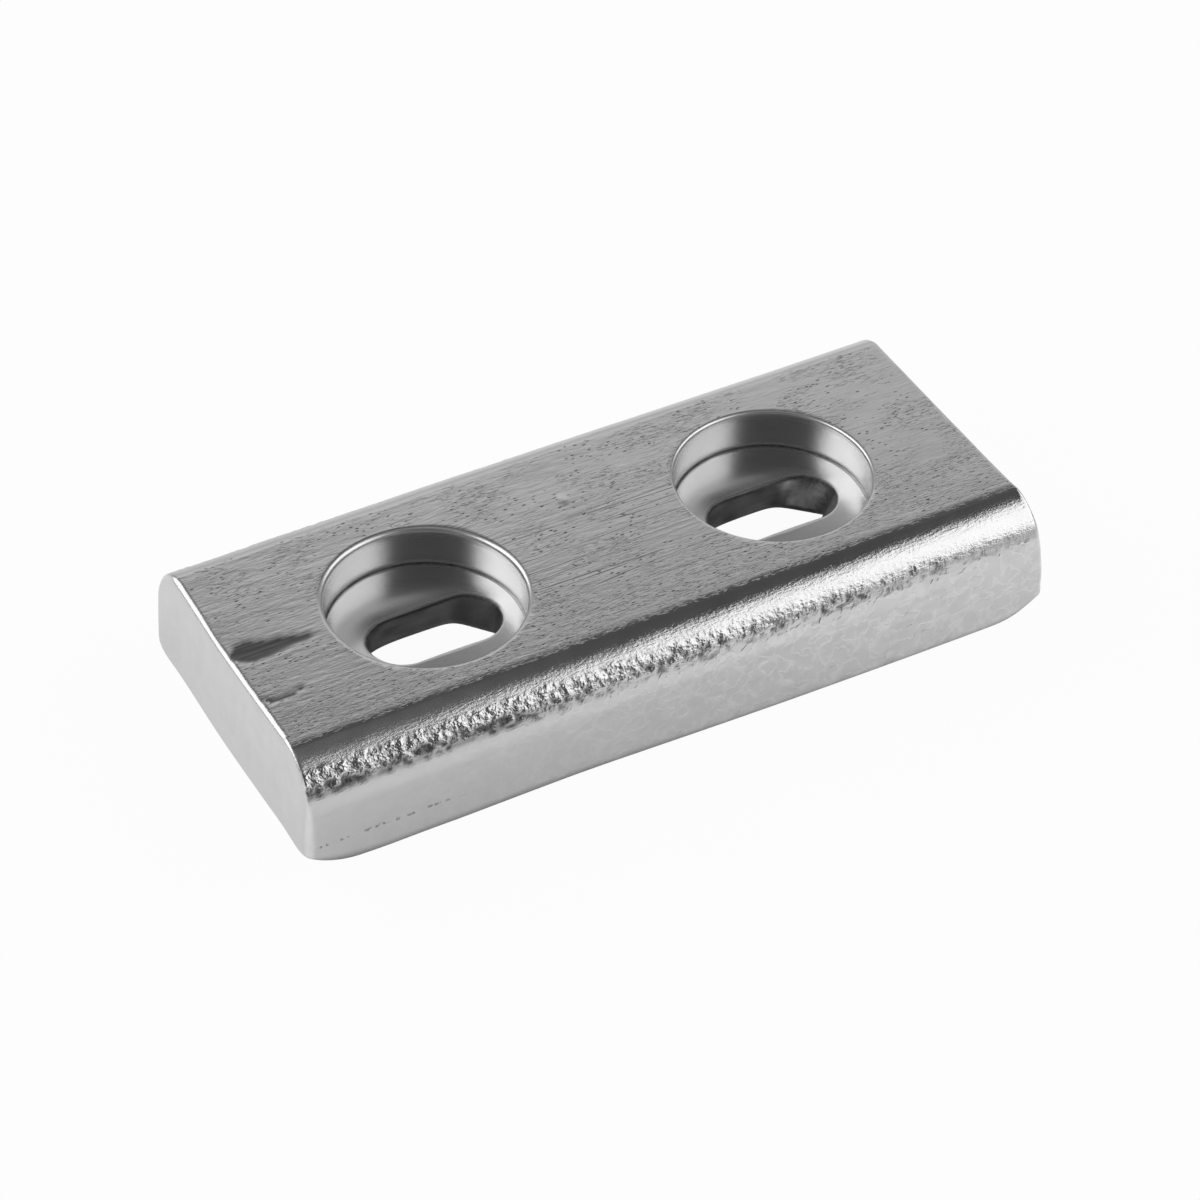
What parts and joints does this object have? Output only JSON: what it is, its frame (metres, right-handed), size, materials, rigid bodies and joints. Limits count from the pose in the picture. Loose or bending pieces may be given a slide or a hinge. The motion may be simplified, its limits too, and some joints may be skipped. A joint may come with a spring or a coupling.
{
  "type": "sacrificial anode",
  "caption": "Flat-topped cast zinc hull anode with rounded shoulders, counterbored bolt slots and a cored underside.",
  "frame": {"origin": "centre of the foot, on the plane that rests on the hull", "axes": "+X along the bar's length, through both bolt slots; +Y across its width; +Z from the foot up to the ground top"},
  "size_m": [0.121, 0.052, 0.0195],
  "materials": {
    "cast_zinc": "bare cast zinc: ground satin top, machined holes, as-cast sides"
  },
  "bodies": {
    "root": {"anode": "cast_zinc"}
  },
  "joints": []
}
